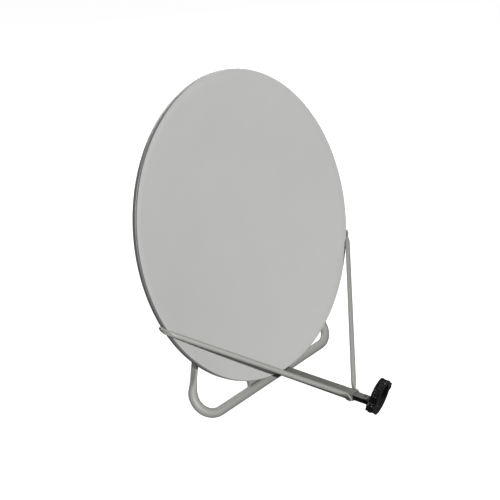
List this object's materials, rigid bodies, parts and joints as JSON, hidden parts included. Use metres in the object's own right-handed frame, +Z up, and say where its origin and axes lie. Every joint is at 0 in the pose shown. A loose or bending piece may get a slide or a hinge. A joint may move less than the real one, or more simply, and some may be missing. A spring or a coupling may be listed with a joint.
{
  "type": "offset satellite dish antenna on a floor stand",
  "caption": "Elliptical pressed reflector leaning back on a stand of bent tubes, with a straight feed arm, side struts and an empty split clamp for the feed.",
  "frame": {"origin": "bottom centre of the bounding box, on the floor", "axes": "+Z up; -Y is the way the reflector faces; X = 0 is the plane of symmetry"},
  "size_m": [0.45, 0.4424, 0.5097],
  "materials": {
    "dish_paint": "satin light grey powder coat on pressed steel",
    "tube_paint": "satin grey powder coat on steel",
    "arm_paint": "satin grey powder coat on steel",
    "black_plastic": "moulded black",
    "zinc": "bright zinc plate"
  },
  "bodies": {
    "root": {"reflector": "dish_paint", "back_tray": "tube_paint", "rear_yoke": "tube_paint", "dish_stud_low_left": "zinc", "dish_stud_low_right": "zinc", "dish_stud_high_left": "zinc", "dish_stud_high_right": "zinc", "front_loop": "tube_paint", "rear_loop": "tube_paint", "pivot_bolt_left": "zinc", "pivot_bolt_right": "zinc", "feed_arm": "arm_paint", "arm_root_plate": "arm_paint", "arm_root_bolt_left": "zinc", "arm_root_bolt_right": "zinc", "holder_stem": "black_plastic", "holder_lower_half": "black_plastic", "holder_upper_half": "black_plastic", "holder_screw_left": "zinc", "holder_screw_right": "zinc", "strut_left": "tube_paint", "strut_right": "tube_paint", "arm_end_bolt": "zinc"}
  },
  "joints": []
}
